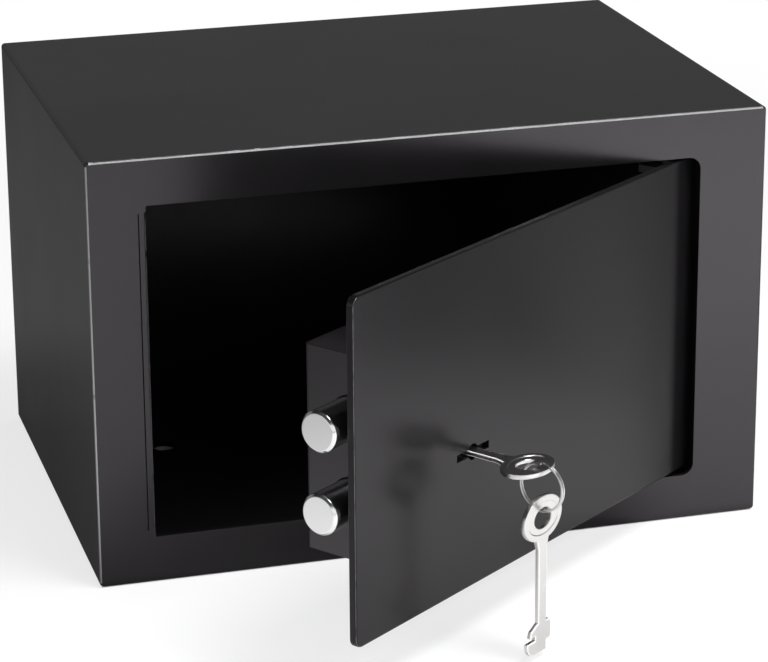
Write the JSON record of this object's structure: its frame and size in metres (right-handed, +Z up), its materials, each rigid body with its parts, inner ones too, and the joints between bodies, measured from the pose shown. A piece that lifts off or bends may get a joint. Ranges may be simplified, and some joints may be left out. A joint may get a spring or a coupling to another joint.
{
  "type": "furniture safe",
  "caption": "Small black steel furniture safe with its door ajar: flush hinged door, round bolts, lever lock, double-bit key in the keyhole and a spare key on a split ring.",
  "frame": {"origin": "centre of the body's underside", "axes": "+X to the right seen from the front, +Y to the back, +Z up"},
  "size_m": [0.28, 0.3245, 0.176],
  "materials": {
    "black_paint": "smooth satin black powder coat",
    "bright_nickel": "bright nickel plate, polished",
    "zinc_steel": "clear zinc plate, dull",
    "spring_steel": "bare spring steel",
    "lock_brass": "plain stamped brass"
  },
  "bodies": {
    "safe_body": {"body_shell": "black_paint", "front_frame": "black_paint", "back_panel": "black_paint", "hinge_bracket_upper": "black_paint", "hinge_bracket_lower": "black_paint"},
    "door": {"door_plate": "black_paint", "hinge_lug_upper": "black_paint", "hinge_lug_lower": "black_paint", "hinge_pin_upper": "zinc_steel", "hinge_pin_lower": "zinc_steel", "lock_cover": "black_paint", "cover_standoff_1": "zinc_steel", "cover_standoff_2": "zinc_steel", "cover_standoff_3": "zinc_steel", "cover_standoff_4": "zinc_steel", "cover_screw_1": "zinc_steel", "cover_screw_2": "zinc_steel", "cover_screw_3": "zinc_steel", "cover_screw_4": "zinc_steel", "lock_case": "zinc_steel", "lock_case_cap": "zinc_steel", "lever_post": "zinc_steel", "bolt_guide_post": "zinc_steel"},
    "bolt_work": {"bolt_plate": "zinc_steel", "bolt_bar": "zinc_steel", "round_bolt_upper": "bright_nickel", "round_bolt_lower": "bright_nickel", "bolt_screw_upper": "zinc_steel", "bolt_screw_lower": "zinc_steel"},
    "levers": {"lever_1": "lock_brass", "lever_2": "lock_brass", "lever_3": "lock_brass", "lever_spring_1": "spring_steel", "lever_spring_2": "spring_steel", "lever_spring_3": "spring_steel"},
    "turning_key": {"key": "bright_nickel"},
    "ring": {"split_ring": "bright_nickel"},
    "hanging_key": {"spare_key": "bright_nickel"}
  },
  "joints": [
    {"name": "door_hinge", "type": "hinge", "parent": "safe_body", "child": "door", "pos_m": [0.1, -0.0917, 0.088], "axis": [0, 0, 1], "range_deg": [-36.5, 63.5]},
    {"name": "bolt_throw", "type": "slide", "parent": "door", "child": "bolt_work", "axis": [0.8039, 0.5948, 0], "range_m": [0, 0.009]},
    {"name": "key_turn", "type": "hinge", "parent": "door", "child": "turning_key", "pos_m": [-0.01093, -0.18287, 0.0752], "axis": [-0.5948, 0.8039, 0], "range_deg": [0, 90]},
    {"name": "lever_lift", "type": "hinge", "parent": "door", "child": "levers", "pos_m": [-0.00032, -0.15349, 0.0912], "axis": [-0.5948, 0.8039, 0], "range_deg": [0, 7]},
    {"name": "ring_swing", "type": "hinge", "parent": "turning_key", "child": "ring", "pos_m": [0.00781, -0.20819, 0.0752], "axis": [0.8039, 0.5948, 0], "range_deg": [-12, 12]},
    {"name": "spare_key_swing", "type": "hinge", "parent": "ring", "child": "hanging_key", "pos_m": [0.00781, -0.20819, 0.0592], "axis": [0.8039, 0.5948, 0], "range_deg": [-25, 15]}
  ],
  "couplings": [
    {"joint": "key_turn", "follows": "bolt_throw", "rad_per_m": 174.53},
    {"joint": "lever_lift", "follows": "bolt_throw", "rad_per_m": 13.57}
  ]
}
